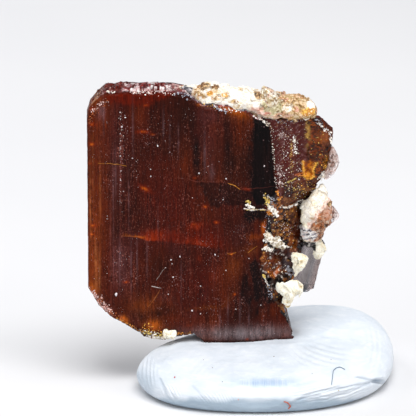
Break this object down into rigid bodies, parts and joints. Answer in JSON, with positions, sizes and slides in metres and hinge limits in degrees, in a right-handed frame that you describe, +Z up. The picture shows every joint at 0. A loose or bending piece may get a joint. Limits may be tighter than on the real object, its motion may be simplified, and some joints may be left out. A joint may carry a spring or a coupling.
{
  "type": "brookite crystal with quartz",
  "caption": "Upright dark red-brown brookite crystal plate with striated faces, clear quartz and pale matrix on its top and broken edge, standing in a flat lump of pale blue putty.",
  "frame": {"origin": "centre of the whole object's footprint, at the underside of the putty", "axes": "+Z up, -Y out of the crystal's striated front face, +X towards the broken edge with the quartz"},
  "size_m": [0.0184, 0.0134, 0.0185],
  "materials": {
    "brookite": "dark red-brown, glassy to metallic shine, fine upright striations",
    "matrix": "cream and white, rough and crumbly",
    "quartz": "clear, faintly smoky, glossy",
    "putty": "pale blue, matte, with fingerprints and creases"
  },
  "bodies": {
    "root": {"brookite_crystal": "brookite", "matrix_crust_top": "matrix", "matrix_side": "matrix", "matrix_lump_middle": "matrix", "matrix_lump_low": "matrix", "matrix_lump_tip": "matrix", "matrix_lump_edge": "matrix", "matrix_wedge": "matrix", "matrix_crumb_foot": "matrix", "quartz_crystal_top": "quartz", "quartz_rim_right": "quartz", "quartz_point_right": "quartz", "quartz_prism_right": "quartz", "mounting_putty": "putty"}
  },
  "joints": []
}
